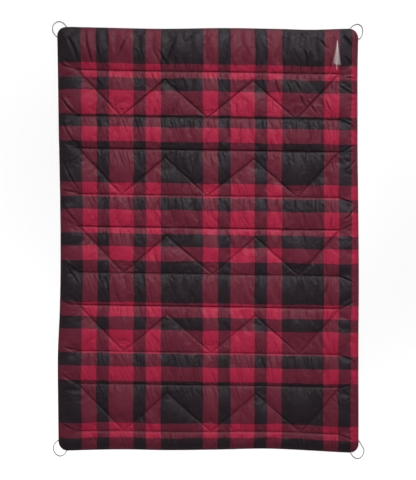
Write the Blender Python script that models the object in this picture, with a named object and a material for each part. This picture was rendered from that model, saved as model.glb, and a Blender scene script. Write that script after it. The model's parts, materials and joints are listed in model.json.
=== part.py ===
"""Quilted camp blanket: plaid face, wadding and back, quilted in bands, with four corner cord loops.

The blanket lies open on the ground, face up. +Z is up, +Y points to its head end, and the origin is
under its centre, on the ground. The face, the wadding and the back are each divided at every second
straight quilting row, where the real blanket folds. All sizes are in metres.
"""

import math

import bmesh
import bpy
import numpy as np
from mathutils import Matrix, Vector

# Overall size
WIDTH = 1.270
LENGTH = 1.778
CORNER_RADIUS = 0.038

# Quilting: ZIGZAG_BANDS zigzag bands with a plain band between each two
ZIGZAG_BANDS = 5
ZIGZAG_BAND = 0.195
TOP_BORDER = 0.180
BOTTOM_BORDER = 0.075
SIDE_BORDER = 0.082
ZIGZAG_RUNS = 6
ZIGZAG_PEAK_INSET = 0.035

# Heights above the ground
PLAIN_CREST = 0.022
ZIGZAG_CREST = 0.017
BORDER_CREST = 0.016
PINCH_HEIGHT = 0.0045
HEM_HEIGHT = 0.0030

# Cloth, hem and thread
CLOTH_THICKNESS = 0.0008
HEM_WIDTH = 0.010
HEM_SHOULDER = 0.002
TOPSTITCH_INSET = 0.008
THREAD_RADIUS = 0.0005
QUILT_LAND = 0.0030

# Clearances
TOUCH_GAP = 0.0003
FOLD_GAP = 0.0004

# Corner loops: how far the cord's points lie beyond the side edge and beyond the end edge
CORD_DIAMETER = 0.0025
CORD_POINTS = 26
ROUND_LOOP = [
    (-0.0360, 0.0016), (-0.0355, 0.0060), (-0.0315, 0.0120), (-0.0245, 0.0190), (-0.0155, 0.0240),
    (-0.0050, 0.0260), (0.0060, 0.0240), (0.0170, 0.0170), (0.0240, 0.0060), (0.0260, -0.0050),
    (0.0240, -0.0155), (0.0190, -0.0245), (0.0120, -0.0315), (0.0060, -0.0355), (0.0016, -0.0360),
]
LONG_LOOP = [
    (-0.0330, 0.0015), (-0.0325, 0.0058), (-0.0280, 0.0120), (-0.0190, 0.0175), (-0.0090, 0.0205),
    (0.0020, 0.0205), (0.0120, 0.0165), (0.0190, 0.0090), (0.0222, -0.0010), (0.0225, -0.0115),
    (0.0205, -0.0215), (0.0165, -0.0305), (0.0115, -0.0380), (0.0062, -0.0425), (0.0016, -0.0430),
]

# Smoothness of the puffs
SIDE_STEPS = 2
BAND_STEPS = 6
BORDER_STEPS = 4
CORNER_STEPS = 4
BORDER_RISE = 0.060
EDGE_RISE = 0.045

# Worked out from the sizes above
HALF_WIDTH = WIDTH / 2
HALF_LENGTH = LENGTH / 2
QUILT_HALF_WIDTH = HALF_WIDTH - SIDE_BORDER
PLAIN_BAND = ((LENGTH - TOP_BORDER - BOTTOM_BORDER - ZIGZAG_BANDS * ZIGZAG_BAND)
              / (ZIGZAG_BANDS - 1))
PANEL_NAMES = ["head", "chest", "middle", "knee", "foot"]


def smooth(t):
    """Rise from 0 to 1 with level ends."""
    t = min(max(t, 0.0), 1.0)
    return t * t * (3 - 2 * t)


def make_material(name, color, roughness):
    material = bpy.data.materials.new(name)
    material.use_nodes = True
    shader = material.node_tree.nodes["Principled BSDF"]
    shader.inputs["Base Color"].default_value = (*color, 1)
    shader.inputs["Roughness"].default_value = roughness
    shader.inputs["Metallic"].default_value = 0.0
    material.diffuse_color = (*color, 1)
    return material


def make_materials():
    return {
        "face": make_material("plaid_face_cloth", (0.36, 0.03, 0.06), 0.45),
        "back": make_material("back_cloth", (0.03, 0.03, 0.035), 0.5),
        "wadding": make_material("wadding", (0.85, 0.85, 0.83), 0.95),
        "thread": make_material("quilting_thread", (0.05, 0.02, 0.03), 0.6),
        "cord": make_material("loop_cord", (0.16, 0.16, 0.16), 0.7),
    }


def panel_lines(index):
    """The Y of a panel's top, its band's upper and lower rows, and its bottom."""
    upper_row = HALF_LENGTH - TOP_BORDER - index * (ZIGZAG_BAND + PLAIN_BAND)
    lower_row = upper_row - ZIGZAG_BAND
    top = HALF_LENGTH if index == 0 else upper_row + PLAIN_BAND
    bottom = -HALF_LENGTH if index == ZIGZAG_BANDS - 1 else lower_row
    return top, upper_row, lower_row, bottom


def puff(y):
    """Height of the quilted cloth's middle at y: a crest in each band, a pinch at each row."""
    for index in range(ZIGZAG_BANDS):
        top, upper_row, lower_row, bottom = panel_lines(index)
        if lower_row <= y <= upper_row:
            return crest((upper_row - y) / ZIGZAG_BAND, ZIGZAG_BAND, ZIGZAG_CREST)
        if index > 0 and upper_row < y <= top:
            return crest((top - y) / PLAIN_BAND, PLAIN_BAND, PLAIN_CREST)
    first_row = panel_lines(0)[1]
    last_row = panel_lines(ZIGZAG_BANDS - 1)[2]
    beyond = max(y - first_row, last_row - y) - QUILT_LAND / 2
    return PINCH_HEIGHT + (BORDER_CREST - PINCH_HEIGHT) * smooth(beyond / BORDER_RISE)


def crest(share, width, height):
    """A puff's height at a share of its band's width, level on the land beside each row."""
    land = QUILT_LAND / 2 / width
    share = min(max((share - land) / (1 - 2 * land), 0.0), 1.0)
    return PINCH_HEIGHT + (height - PINCH_HEIGHT) * math.sin(math.pi * share) ** 0.8


def face_height(y, inset, side_inset):
    """Top of the face cloth, from its place along Y and its distances in from the edges."""
    spread = smooth((SIDE_BORDER - side_inset) / SIDE_BORDER)
    body = puff(y) + (BORDER_CREST - puff(y)) * spread
    return HEM_HEIGHT + (body - HEM_HEIGHT) * smooth((inset - HEM_WIDTH) / EDGE_RISE)


def edge_x(y):
    """Half the blanket's width at y, less at its rounded corners."""
    into_corner = abs(y) - (HALF_LENGTH - CORNER_RADIUS)
    if into_corner <= 0:
        return HALF_WIDTH
    return HALF_WIDTH - CORNER_RADIUS + math.sqrt(max(CORNER_RADIUS ** 2 - into_corner ** 2, 0.0))


def side_insets():
    """Nominal distances of the columns in from the side edge, out to the quilted width."""
    shoulder = HEM_WIDTH + HEM_SHOULDER
    rise = np.linspace(shoulder, SIDE_BORDER, SIDE_STEPS + 2)
    return [0.0, HEM_WIDTH, *rise.tolist()]


def columns():
    """(side, inset) of every column from left to right."""
    insets = side_insets()
    return [(-1, inset) for inset in insets] + [(1, inset) for inset in reversed(insets)]


def end_insets():
    """Distances of the rows in from an end edge: the corner's arc, the hem and its shoulder."""
    arc = [CORNER_RADIUS * (1 - math.cos(step / CORNER_STEPS * math.pi / 2))
           for step in range(CORNER_STEPS + 1)]
    hem = [HEM_WIDTH, HEM_WIDTH + HEM_SHOULDER]
    clear = [a for a in arc if min(abs(a - h) for h in hem) > HEM_SHOULDER / 2]
    return sorted(clear + hem)


def band_rows(high, low, steps):
    """Rows of one band, with the level land of a quilting row at each end."""
    inner = np.linspace(high - QUILT_LAND / 2, low + QUILT_LAND / 2, steps + 1)
    return [high, *inner.tolist(), low]


def panel_rows(index):
    """The Y of a panel's rows, from its top to its bottom, with half the fold's gap at each fold."""
    top, upper_row, lower_row, bottom = panel_lines(index)
    insets = end_insets()
    if index == 0:
        border_end = upper_row + QUILT_LAND / 2
        border = np.linspace(top - insets[-1], border_end, BORDER_STEPS + 1)[1:]
        rows = [top - inset for inset in insets] + border.tolist() + [upper_row]
    else:
        rows = band_rows(top - FOLD_GAP / 2, upper_row, BAND_STEPS)
    if index == ZIGZAG_BANDS - 1:
        rows += band_rows(upper_row, lower_row, BAND_STEPS)[1:]
        border_start = lower_row - QUILT_LAND / 2
        border = np.linspace(border_start, bottom + insets[-1], BORDER_STEPS)[:-1]
        rows += border.tolist() + [bottom + inset for inset in reversed(insets)]
    else:
        rows += band_rows(upper_row, lower_row + FOLD_GAP / 2, BAND_STEPS)[1:]
    return rows


def new_object(name, data, material, pivot):
    """An object with one material that turns with a pivot and stays where its shape puts it."""
    data.materials.append(material)
    obj = bpy.data.objects.new(name, data)
    bpy.context.scene.collection.objects.link(obj)
    obj.parent = pivot
    obj.matrix_parent_inverse = Matrix.Translation(-Vector(pivot["place"]))
    return obj


def make_pivots():
    """An empty on each panel's fold axis, from the foot up, each on the one below it."""
    pivots = [None] * ZIGZAG_BANDS
    below = None
    for index in reversed(range(ZIGZAG_BANDS)):
        place = (0.0, 0.0, 0.0)
        if below is not None:
            faces_meet = (ZIGZAG_BANDS - index) % 2 == 0
            height = PLAIN_CREST + TOUCH_GAP if faces_meet else -TOUCH_GAP
            place = (0.0, panel_lines(index)[3], height)
        pivot = bpy.data.objects.new(f"{PANEL_NAMES[index]}_pivot", None)
        bpy.context.scene.collection.objects.link(pivot)
        pivot["place"] = place
        pivot.location = place
        if below is not None:
            pivot.parent = below
            pivot.matrix_parent_inverse = Matrix.Translation(-Vector(below["place"]))
        pivots[index] = below = pivot
    return pivots


def make_layer(name, index, pivot, material, least_inset, lower, upper):
    """One cloth or wadding layer of a panel: a grid that is placed, then extruded to its top."""
    rows = [y for y in panel_rows(index) if HALF_LENGTH - abs(y) >= least_inset - 1e-6]
    sides = [c for c in columns() if c[1] >= least_inset - 1e-6]
    bm = bmesh.new()
    bmesh.ops.create_grid(bm, x_segments=len(sides) - 1, y_segments=len(rows) - 1, size=0.5)
    places = {}
    for vert in bm.verts:
        side, side_inset = sides[round((vert.co.x + 0.5) * (len(sides) - 1))]
        y = rows[round((0.5 - vert.co.y) * (len(rows) - 1))]
        reach = (edge_x(y) - QUILT_HALF_WIDTH) * (1 - side_inset / SIDE_BORDER)
        inset = min(side_inset, HALF_LENGTH - abs(y))
        places[(round(side * (QUILT_HALF_WIDTH + reach), 6), round(y, 6))] = (y, inset, side_inset)
        vert.co = (side * (QUILT_HALF_WIDTH + reach), y, lower(y, inset, side_inset))
    raised = bmesh.ops.extrude_face_region(bm, geom=bm.faces[:])["geom"]
    for vert in (v for v in raised if isinstance(v, bmesh.types.BMVert)):
        place = places[(round(vert.co.x, 6), round(vert.co.y, 6))]
        vert.co.z = upper(*place)
    bmesh.ops.recalc_face_normals(bm, faces=bm.faces)
    mesh = bpy.data.meshes.new(name)
    bm.to_mesh(mesh)
    bm.free()
    return new_object(name, mesh, material, pivot)


def make_face(index, pivot, material):
    def lower(y, inset, side_inset):
        if inset <= HEM_WIDTH + 1e-6:
            return CLOTH_THICKNESS + TOUCH_GAP
        return face_height(y, inset, side_inset) - CLOTH_THICKNESS

    name = f"{PANEL_NAMES[index]}_face_cloth"
    return make_layer(name, index, pivot, material, 0.0, lower, face_height)


def make_wadding(index, pivot, material):
    def lower(y, inset, side_inset):
        return CLOTH_THICKNESS + TOUCH_GAP

    def upper(y, inset, side_inset):
        return face_height(y, inset, side_inset) - CLOTH_THICKNESS - TOUCH_GAP

    shoulder = HEM_WIDTH + HEM_SHOULDER
    name = f"{PANEL_NAMES[index]}_wadding"
    return make_layer(name, index, pivot, material, shoulder, lower, upper)


def make_back(index, pivot, material):
    """The flat back cloth of a panel, an outline of the panel's own rows raised to its thickness."""
    name = f"{PANEL_NAMES[index]}_back_cloth"
    rows = panel_rows(index)
    bm = bmesh.new()
    if index in (0, ZIGZAG_BANDS - 1):
        ends = [y for y in rows if abs(y) >= HALF_LENGTH - CORNER_RADIUS - 1e-6]
        ends = sorted(ends + [rows[-1] if index == 0 else rows[0]], reverse=True)
    else:
        ends = [rows[0], rows[-1]]
    right = [bm.verts.new((edge_x(y), y, 0.0)) for y in ends]
    left = [bm.verts.new((-edge_x(y), y, 0.0)) for y in reversed(ends)]
    face = bm.faces.new(right + left)
    raised = bmesh.ops.extrude_face_region(bm, geom=[face])["geom"]
    verts = [v for v in raised if isinstance(v, bmesh.types.BMVert)]
    bmesh.ops.translate(bm, verts=verts, vec=(0, 0, CLOTH_THICKNESS))
    bmesh.ops.recalc_face_normals(bm, faces=bm.faces)
    mesh = bpy.data.meshes.new(name)
    bm.to_mesh(mesh)
    bm.free()
    return new_object(name, mesh, material, pivot)


def make_tube(name, points, radius, resolution, material, pivot, origin=(0, 0, 0)):
    """A round tube along points, with closed ends."""
    curve = bpy.data.curves.new(name, "CURVE")
    curve.dimensions = "3D"
    curve.bevel_depth = radius
    curve.bevel_resolution = resolution
    curve.use_fill_caps = True
    spline = curve.splines.new("POLY")
    spline.points.add(len(points) - 1)
    for spline_point, point in zip(spline.points, points):
        spline_point.co = (*(Vector(point) - Vector(origin)), 1)
    obj = new_object(name, curve, material, pivot)
    obj.location = origin
    return obj


def thread_height(y):
    return puff(y) + TOUCH_GAP + THREAD_RADIUS


def make_straight_rows(index, pivot, material):
    """The two straight rows beside a zigzag band. A row on a fold lies on its panel's own side."""
    top, upper_row, lower_row, bottom = panel_lines(index)
    aside = QUILT_LAND / 4 if bottom == lower_row else 0.0
    for label, y in (("upper", upper_row), ("lower", lower_row + aside)):
        points = [(side * QUILT_HALF_WIDTH, y, thread_height(y)) for side in (-1, 1)]
        name = f"{PANEL_NAMES[index]}_{label}_quilting_row"
        make_tube(name, points, THREAD_RADIUS, 0, material, pivot)


def make_zigzag_row(index, pivot, material):
    """The zigzag row of a band, bent wherever it crosses a row of the face cloth under it."""
    top, upper_row, lower_row, bottom = panel_lines(index)
    run = 2 * QUILT_HALF_WIDTH / ZIGZAG_RUNS
    high = upper_row - QUILT_LAND
    low = lower_row + QUILT_LAND
    peak = upper_row - ZIGZAG_PEAK_INSET
    turns = [high] + [low if turn % 2 else peak for turn in range(1, ZIGZAG_RUNS)] + [high]
    levels = [y for y in panel_rows(index) if low < y < high]
    points = []
    for turn in range(ZIGZAG_RUNS):
        start, end = turns[turn], turns[turn + 1]
        stops = [y for y in levels if min(start, end) + 1e-4 < y < max(start, end) - 1e-4]
        for y in [start] + sorted(stops, reverse=start > end):
            share = (y - start) / (end - start)
            points.append((-QUILT_HALF_WIDTH + (turn + share) * run, y))
    points.append((QUILT_HALF_WIDTH, turns[-1]))
    lift = 3 * TOUCH_GAP + THREAD_RADIUS
    path = [(x, y, row_height(index, y) + lift) for x, y in points]
    name = f"{PANEL_NAMES[index]}_zigzag_quilting_row"
    make_tube(name, path, THREAD_RADIUS, 0, material, pivot)


def row_height(index, y):
    """Height of the face cloth's flat facets at y."""
    rows = panel_rows(index)[::-1]
    return float(np.interp(y, rows, [puff(row) for row in rows]))


def topstitch_x(y):
    """Distance of the topstitch from the middle at y, on the hem's own flat strip."""
    reach = (edge_x(y) - QUILT_HALF_WIDTH) * (1 - TOPSTITCH_INSET / SIDE_BORDER)
    return QUILT_HALF_WIDTH + reach


def make_topstitch(index, pivot, material):
    """The topstitch on the hem: one row round each end, and one along each side between them."""
    top, upper_row, lower_row, bottom = panel_lines(index)
    z = HEM_HEIGHT + TOUCH_GAP + THREAD_RADIUS
    name = PANEL_NAMES[index]
    if index in (0, ZIGZAG_BANDS - 1):
        end = 1 if index == 0 else -1
        fold = bottom + FOLD_GAP / 2 if index == 0 else top - FOLD_GAP / 2
        insets = [inset for inset in reversed(end_insets()) if inset > TOPSTITCH_INSET]
        corner = [end * (HALF_LENGTH - inset) for inset in insets + [TOPSTITCH_INSET]]
        right = [(topstitch_x(y), y, z) for y in [fold] + corner]
        left = [(-x, y, z) for x, y, z in reversed(right)]
        make_tube(f"{name}_end_topstitch", right + left, THREAD_RADIUS, 0, material, pivot)
        return
    for label, side in (("left", -1), ("right", 1)):
        points = [(side * topstitch_x(y), y, z)
                  for y in (top - FOLD_GAP / 2, bottom + FOLD_GAP / 2)]
        make_tube(f"{name}_{label}_topstitch", points, THREAD_RADIUS, 0, material, pivot)


def smooth_route(points, count):
    """Points at even distances along a smooth curve through the route's own points."""
    ends = [2 * points[0] - points[1], *points, 2 * points[-1] - points[-2]]
    fine = []
    for before, start, end, after in zip(ends, ends[1:], ends[2:], ends[3:]):
        for step in range(12):
            t = step / 12
            fine.append(0.5 * (2 * start + (end - before) * t
                               + (2 * before - 5 * start + 4 * end - after) * t ** 2
                               + (3 * start - before - 3 * end + after) * t ** 3))
    fine.append(points[-1])
    walked = [0.0]
    for start, end in zip(fine, fine[1:]):
        walked.append(walked[-1] + (end - start).length)
    stops = np.linspace(0, walked[-1], count)
    return [Vector([float(np.interp(stop, walked, [p[axis] for p in fine])) for axis in range(3)])
            for stop in stops]


def make_loop(name, side, end, route, material, pivot):
    """A corner loop of cord on the ground, its origin on the line that it swings about."""
    points = [Vector((side * (HALF_WIDTH + out_side), end * (HALF_LENGTH + out_end),
                      CORD_DIAMETER / 2)) for out_side, out_end in route]
    origin = (points[0] + points[-1]) / 2
    path = smooth_route(points, CORD_POINTS)
    make_tube(name, path, CORD_DIAMETER / 2, 2, material, pivot, origin)


def main():
    for obj in list(bpy.data.objects):
        bpy.data.objects.remove(obj, do_unlink=True)
    materials = make_materials()
    pivots = make_pivots()
    for index, pivot in enumerate(pivots):
        make_face(index, pivot, materials["face"])
        make_wadding(index, pivot, materials["wadding"])
        make_back(index, pivot, materials["back"])
        make_straight_rows(index, pivot, materials["thread"])
        make_zigzag_row(index, pivot, materials["thread"])
        make_topstitch(index, pivot, materials["thread"])
    head, foot = pivots[0], pivots[-1]
    make_loop("head_left_loop", -1, 1, ROUND_LOOP, materials["cord"], head)
    make_loop("head_right_loop", 1, 1, LONG_LOOP, materials["cord"], head)
    make_loop("foot_left_loop", -1, -1, ROUND_LOOP, materials["cord"], foot)
    make_loop("foot_right_loop", 1, -1, ROUND_LOOP, materials["cord"], foot)


main()
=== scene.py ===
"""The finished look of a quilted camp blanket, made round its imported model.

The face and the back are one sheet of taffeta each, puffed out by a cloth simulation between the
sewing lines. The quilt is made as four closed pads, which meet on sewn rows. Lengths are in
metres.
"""

import json
import math

import bmesh
import bpy
import numpy as np
from mathutils import Matrix, Vector


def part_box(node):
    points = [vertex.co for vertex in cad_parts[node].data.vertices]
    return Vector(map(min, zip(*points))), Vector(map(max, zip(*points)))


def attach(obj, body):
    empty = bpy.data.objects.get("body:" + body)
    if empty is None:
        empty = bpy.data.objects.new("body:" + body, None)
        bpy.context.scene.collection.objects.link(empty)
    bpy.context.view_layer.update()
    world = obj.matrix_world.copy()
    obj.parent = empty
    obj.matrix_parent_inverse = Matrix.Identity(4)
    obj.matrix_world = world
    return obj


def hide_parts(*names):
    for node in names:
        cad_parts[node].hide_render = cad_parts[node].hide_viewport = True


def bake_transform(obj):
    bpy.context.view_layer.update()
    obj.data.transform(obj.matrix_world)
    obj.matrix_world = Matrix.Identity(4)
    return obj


MM = 0.001

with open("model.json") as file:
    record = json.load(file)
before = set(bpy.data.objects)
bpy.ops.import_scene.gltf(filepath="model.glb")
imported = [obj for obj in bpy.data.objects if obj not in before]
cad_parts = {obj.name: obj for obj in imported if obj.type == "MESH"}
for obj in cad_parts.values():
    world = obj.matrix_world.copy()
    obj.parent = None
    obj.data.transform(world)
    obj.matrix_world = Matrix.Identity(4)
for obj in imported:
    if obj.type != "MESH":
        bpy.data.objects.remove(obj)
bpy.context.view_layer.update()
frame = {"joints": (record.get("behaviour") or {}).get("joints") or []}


# ---------- sizes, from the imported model

PANELS = ("head", "chest", "middle", "knee", "foot")
FOLD_JOINTS = {"head": "head_fold", "chest": "chest_fold", "middle": "middle_fold", "knee": "knee_fold"}
JOINTS = {joint["name"]: joint for joint in frame["joints"]}


def middle_of(node, axis):
    """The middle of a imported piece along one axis."""
    low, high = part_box(node)
    return (low[axis] + high[axis]) / 2


def fold_line(panel):
    """The y of the fold at a panel's lower row."""
    return JOINTS[FOLD_JOINTS[panel]]["pos_m"][1]


HALF_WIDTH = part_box("head_face_cloth")[1].x
HALF_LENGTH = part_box("head_face_cloth")[1].y
QUILTED_HALF = round(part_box("head_upper_quilting_row")[1].x, 4)
UPPER_ROW = {panel: middle_of(f"{panel}_upper_quilting_row", 1) for panel in PANELS}
LOWER_ROW = {panel: fold_line(panel) for panel in FOLD_JOINTS}
LOWER_ROW["foot"] = middle_of("foot_lower_quilting_row", 1)
PINCH_HEIGHT = middle_of("head_upper_quilting_row", 2)
HEM_HEIGHT = middle_of("head_end_topstitch", 2)
HEM_WIDTH = HALF_WIDTH - middle_of("chest_right_topstitch", 0)

CORNER_RADIUS = 38 * MM
ZIGZAG_RUNS = 6
ZIGZAG_PEAK_INSET = 35 * MM
SEAM_THICKNESS = 1.6 * MM
THREAD_RADIUS = 0.36 * MM
CORD_DIAMETER = 2.9 * MM


# ---------- camera, floor and light

VIEW_HEIGHT = 6.0
VIEW_LENGTH = 2.031
VIEW_CENTRE = (-0.001, -0.0046)
SENSOR = 36.0
WORLD_STRENGTH = 0.16
WHITE = (1.0, 1.0, 1.0, 1.0)
PAPER_WHITE = (0.82, 0.82, 0.82, 1.0)

# The main lamp's light fades out from its target to its reach. The paper's glow grows to its full
# strength over a span given in reaches from the target.
LAMP_PLACE = (1.6, 4.6, 5.2)
LAMP_TARGET = (0.12, 0.2)
LAMP_REACH = 1.11
LAMP_STRENGTH = 4850.0
LAMP_SOFTNESS = 1.2
GLOW_SPAN = (0.45, 1.6)
GLOW_STRENGTH = 0.60
FLOOR_HALF_SIZE = 12.0
FLOOR_GAP = 0.2 * MM


def new_object(name, data):
    """A new object in the scene."""
    item = bpy.data.objects.new(name, data)
    bpy.context.scene.collection.objects.link(item)
    return item


def smooth_mesh(name, shape):
    """A mesh, shaded smooth, of a shape built in bmesh, which it frees."""
    mesh = bpy.data.meshes.new(name)
    shape.to_mesh(mesh)
    shape.free()
    mesh.shade_smooth()
    return mesh


def add_camera():
    """A camera straight above the blanket, its top edge uppermost."""
    data = bpy.data.cameras.new("overhead_camera")
    data.sensor_width = SENSOR
    data.lens = SENSOR * VIEW_HEIGHT / VIEW_LENGTH
    camera = new_object("overhead_camera", data)
    camera.location = (*VIEW_CENTRE, VIEW_HEIGHT)
    bpy.context.scene.camera = camera


def add_sun(name, azimuth, elevation, softness, strength):
    """An even light, its azimuth in degrees clockwise from the head end, spread over softness degrees."""
    data = bpy.data.lights.new(name, "SUN")
    data.angle = math.radians(softness)
    data.energy = strength
    lamp = new_object(name, data)
    lamp.rotation_euler = (math.radians(90 - elevation), 0.0, math.radians(180 - azimuth))


def add_main_lamp():
    """A soft-edged lamp aimed close to the middle of the blanket."""
    data = bpy.data.lights.new("main_lamp", "SPOT")
    aim = Vector((*LAMP_TARGET, 0.0)) - Vector(LAMP_PLACE)
    data.spot_size = 2 * math.atan(LAMP_REACH / aim.length)
    data.spot_blend = 1.0
    data.shadow_soft_size = LAMP_SOFTNESS
    data.energy = LAMP_STRENGTH
    lamp = new_object("main_lamp", data)
    lamp.location = LAMP_PLACE
    lamp.rotation_euler = aim.to_track_quat("-Z", "Y").to_euler()


def floor_paper():
    """White paper. It glows a little more the less the main lamp reaches it, so that it stays one white."""
    nodes = Nodes("floor_paper")
    place = nodes.add("ShaderNodeTexCoord").outputs["Object"]
    away = nodes.add("ShaderNodeVectorMath", operation="DISTANCE")
    nodes.link(place, away.inputs[0])
    away.inputs[1].default_value = (*LAMP_TARGET, 0.0)
    fade = nodes.add("ShaderNodeMapRange", interpolation_type="SMOOTHSTEP")
    nodes.link(away.outputs["Value"], fade.inputs["Value"])
    fade.inputs["From Min"].default_value = GLOW_SPAN[0] * LAMP_REACH
    fade.inputs["From Max"].default_value = GLOW_SPAN[1] * LAMP_REACH
    fade.inputs["To Max"].default_value = GLOW_STRENGTH
    nodes.set(Emission_Color=WHITE, Emission_Strength=fade.outputs["Result"])
    nodes.set(Base_Color=PAPER_WHITE, Roughness=0.9, Specular_IOR_Level=0.1)
    return nodes.material


def add_studio():
    """A white floor, a large soft light and a lamp beyond the head end, and weaker fills."""
    world = bpy.data.worlds.new("studio_world")
    world.use_nodes = True
    background = world.node_tree.nodes["Background"]
    background.inputs["Color"].default_value = WHITE
    background.inputs["Strength"].default_value = WORLD_STRENGTH
    bpy.context.scene.world = world
    add_sun("key_light", azimuth=20.0, elevation=43.0, softness=24.0, strength=1.1)
    add_main_lamp()
    add_sun("left_fill", azimuth=-95.0, elevation=40.0, softness=50.0, strength=0.30)
    add_sun("foot_fill", azimuth=175.0, elevation=45.0, softness=50.0, strength=0.20)
    bpy.context.scene.view_settings.view_transform = "Standard"

    mesh = bpy.data.meshes.new("studio_floor")
    floor = bmesh.new()
    bmesh.ops.create_grid(floor, x_segments=8, y_segments=8, size=FLOOR_HALF_SIZE)
    bmesh.ops.translate(floor, verts=floor.verts, vec=(0.0, 0.0, -FLOOR_GAP))
    floor.to_mesh(mesh)
    floor.free()
    mesh.materials.append(floor_paper())
    new_object("studio_floor", mesh)


# ---------- material tools


class Nodes:
    """Short calls for a material's nodes."""

    def __init__(self, name):
        self.material = bpy.data.materials.new(name)
        self.material.use_nodes = True
        self.tree = self.material.node_tree
        self.shader = self.tree.nodes["Principled BSDF"]

    def add(self, kind, **settings):
        node = self.tree.nodes.new(kind)
        for key, value in settings.items():
            setattr(node, key, value)
        return node

    def link(self, source, target):
        self.tree.links.new(source, target)

    def math(self, operation, *values):
        node = self.add("ShaderNodeMath", operation=operation)
        for socket, value in zip(node.inputs, values):
            if isinstance(value, (int, float)):
                socket.default_value = value
            else:
                self.link(value, socket)
        return node.outputs[0]

    def mix(self, share, first, second, blend="MIX"):
        """Two colours, or a colour and a socket, mixed by share."""
        node = self.add("ShaderNodeMix", data_type="RGBA", blend_type=blend)
        for socket, value in zip((node.inputs[0], node.inputs[6], node.inputs[7]), (share, first, second)):
            if isinstance(value, tuple):
                socket.default_value = (*value, 1.0)
            elif isinstance(value, (int, float)):
                socket.default_value = value
            else:
                self.link(value, socket)
        return node.outputs[2]

    def steps(self, value, stops):
        """A value that jumps at each (position, level) stop."""
        ramp = self.add("ShaderNodeValToRGB")
        ramp.color_ramp.interpolation = "CONSTANT"
        elements = ramp.color_ramp.elements
        while len(elements) < len(stops):
            elements.new(0.5)
        for element, (position, level) in zip(elements, stops):
            element.position = position
            element.color = (level, level, level, 1.0)
        self.link(value, ramp.inputs[0])
        return ramp.outputs[0]

    def noise(self, vector, scale, detail=2.0, roughness=0.5):
        node = self.add("ShaderNodeTexNoise")
        node.inputs["Scale"].default_value = scale
        node.inputs["Detail"].default_value = detail
        node.inputs["Roughness"].default_value = roughness
        self.link(vector, node.inputs["Vector"])
        return node.outputs["Fac"]

    def bump(self, height, distance, strength=1.0, under=None):
        node = self.add("ShaderNodeBump")
        node.inputs["Strength"].default_value = strength
        node.inputs["Distance"].default_value = distance
        self.link(height, node.inputs["Height"])
        if under is not None:
            self.link(under, node.inputs["Normal"])
        return node.outputs["Normal"]

    def attribute(self, name, output="Vector"):
        return self.add("ShaderNodeAttribute", attribute_name=name).outputs[output]

    def split(self, vector):
        node = self.add("ShaderNodeSeparateXYZ")
        self.link(vector, node.inputs[0])
        return node.outputs

    def set(self, **inputs):
        """Gives the shader constants, or the values of sockets."""
        for key, value in inputs.items():
            socket = self.shader.inputs[key.replace("_", " ")]
            if isinstance(value, bpy.types.NodeSocket):
                self.link(value, socket)
            else:
                socket.default_value = value


# ---------- cloth, thread and cord finishes

# Linear colours.
CLOTH_RED = (0.294, 0.0106, 0.0392)
CLOTH_WINE = (0.100, 0.0098, 0.0227)
CLOTH_BLACK = (0.0124, 0.0077, 0.0108)
# The colour of the painted shade along the rolled edge, where the cloth turns away from the light.
RIM_SHADE = (0.008, 0.006, 0.007)
BACK_CHARCOAL = (0.022, 0.022, 0.026)
SPRIG_WHITE = (0.62, 0.61, 0.61)
THREAD_COLOURS = ((0.035, 0.008, 0.013), (0.130, 0.030, 0.045))
CORD_COLOURS = ((0.012, 0.012, 0.013), (0.05, 0.05, 0.054))
FOLD_SHADE = (0.20, 0.08, 0.12)

# The width of the painted shade along the rolled edge.
RIM_SHADE_WIDTH = 3.0 * MM
HATCH_PITCH = 4.2 * MM
WEAVE_PITCH = 0.9 * MM
BRAID_PITCH = 2.6 * MM
BRAID_STRANDS = 4.0

# The plaid mirrors about the middle of each wide black stripe: the middle, half the repeat, and
# where along the half repeat the stripe turns red, black and red again.
CROSS_STRIPES = (-0.112, 0.2585, (0.0895, 0.153, 0.207))
LONG_STRIPES = (0.322, 0.2533, (0.0875, 0.148, 0.202))


def stripe(nodes, place, layout):
    """1 on a red stripe and 0 on a black one."""
    centre, half, turns = layout
    along = nodes.math("PINGPONG", nodes.math("SUBTRACT", place, centre), half)
    stops = [(0.0, 0.0)] + [(turn / half, float(number % 2 == 0)) for number, turn in enumerate(turns)]
    return nodes.steps(nodes.math("DIVIDE", along, half), stops)


# The printed sprig: its foot, its length, its half width at the lowest needles and where those
# start, half the stem's width, and the needles' pitch, slope and share of the pitch.
SPRIG_FOOT = (0.548, 0.728)
SPRIG_LENGTH = 0.112
SPRIG_SPREAD = 0.021
SPRIG_BARE_STEM = 0.02
SPRIG_STEM = 0.0011
NEEDLE_PITCH = 0.0105
NEEDLE_SLOPE = 0.75
NEEDLE_SHARE = 0.17


def sprig(nodes, x, y):
    """1 on a small printed pine sprig near the head's right corner."""
    across = nodes.math("ABSOLUTE", nodes.math("SUBTRACT", x, SPRIG_FOOT[0]))
    up = nodes.math("SUBTRACT", y, SPRIG_FOOT[1])
    reach = nodes.math("MULTIPLY", nodes.math("SUBTRACT", SPRIG_LENGTH, up), SPRIG_SPREAD / SPRIG_LENGTH)
    inside = nodes.math("LESS_THAN", across, reach)
    inside = nodes.math("MULTIPLY", inside, nodes.math("GREATER_THAN", up, SPRIG_BARE_STEM))
    slant = nodes.math("SUBTRACT", up, nodes.math("MULTIPLY", across, NEEDLE_SLOPE))
    slant = nodes.math("PINGPONG", slant, NEEDLE_PITCH / 2)
    needle = nodes.math("LESS_THAN", slant, NEEDLE_PITCH * NEEDLE_SHARE)
    stem = nodes.math("LESS_THAN", across, SPRIG_STEM)
    stem = nodes.math("MULTIPLY", stem, nodes.math("LESS_THAN", up, SPRIG_LENGTH))
    stem = nodes.math("MULTIPLY", stem, nodes.math("GREATER_THAN", up, 0.0))
    return nodes.math("MAXIMUM", nodes.math("MULTIPLY", needle, inside), stem)


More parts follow.
